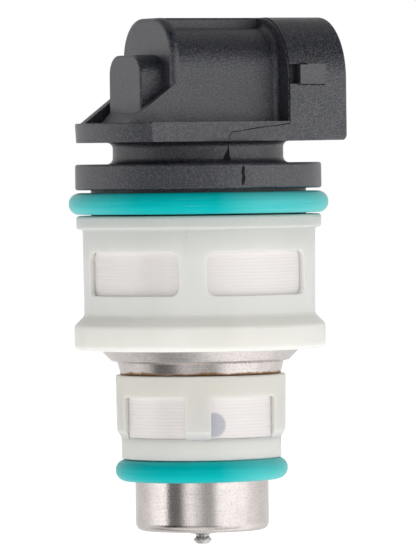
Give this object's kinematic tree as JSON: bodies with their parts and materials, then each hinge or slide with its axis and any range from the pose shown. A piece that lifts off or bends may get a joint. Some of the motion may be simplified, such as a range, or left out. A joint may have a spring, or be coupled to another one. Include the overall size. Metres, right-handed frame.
{
  "type": "fuel injector",
  "caption": "Throttle-body fuel injector with stepped steel body, windowed filter sleeves, seal rings, pintle nozzle and a side-facing electrical socket.",
  "frame": {"origin": "on the injector's axis, in the plane of the nozzle's end face", "axes": "+Z along the injector's axis from the nozzle to the connector, +X the way the connector's socket opens"},
  "size_m": [0.029, 0.029, 0.0586],
  "materials": {
    "black_nylon": "glass-filled nylon, fine grain, dull",
    "terminal_metal": "tin-plated brass, satin",
    "dark_rubber": "dull",
    "teal_rubber": "fluoro rubber, smooth with a faint mould line",
    "natural_nylon": "milky, slightly translucent nylon",
    "filter_mesh": "fine woven nylon mesh",
    "housing_steel": "turned stainless steel, fine tool marks, light residue",
    "ground_steel": "ground and hardened",
    "core_iron": "turned soft iron, nickel tone",
    "spring_steel": "drawn spring steel",
    "bobbin_nylon": "moulded nylon",
    "copper_wire": "enamelled copper wire, wound in layers",
    "coil_tape": "thin amber film, glossy"
  },
  "bodies": {
    "injector": {"connector_cap": "black_nylon", "terminal_blade_left": "terminal_metal", "terminal_blade_right": "terminal_metal", "terminal_seal_left": "dark_rubber", "terminal_seal_right": "dark_rubber", "core_seal": "dark_rubber", "upper_o_ring": "teal_rubber", "upper_filter_frame": "natural_nylon", "upper_filter_screen": "filter_mesh", "solenoid_housing": "housing_steel", "flux_washer": "core_iron", "pole_core": "core_iron", "adjusting_sleeve": "spring_steel", "coil_bobbin": "bobbin_nylon", "coil_winding": "copper_wire", "coil_tape": "coil_tape", "lower_filter_frame": "natural_nylon", "lower_filter_screen": "filter_mesh", "lower_o_ring": "teal_rubber", "nozzle_shell": "housing_steel", "valve_body": "ground_steel", "stop_plate": "ground_steel", "lift_shim": "ground_steel", "return_spring": "spring_steel"},
    "valve": {"pintle_needle": "ground_steel", "armature": "core_iron"}
  },
  "joints": [
    {"name": "valve_lift", "type": "slide", "parent": "injector", "child": "valve", "axis": [0, 0, 1], "range_m": [0, 0.00012], "stiffness_N_per_m": 4800, "springref_m": -0.002, "deforming": ["return_spring"]}
  ]
}
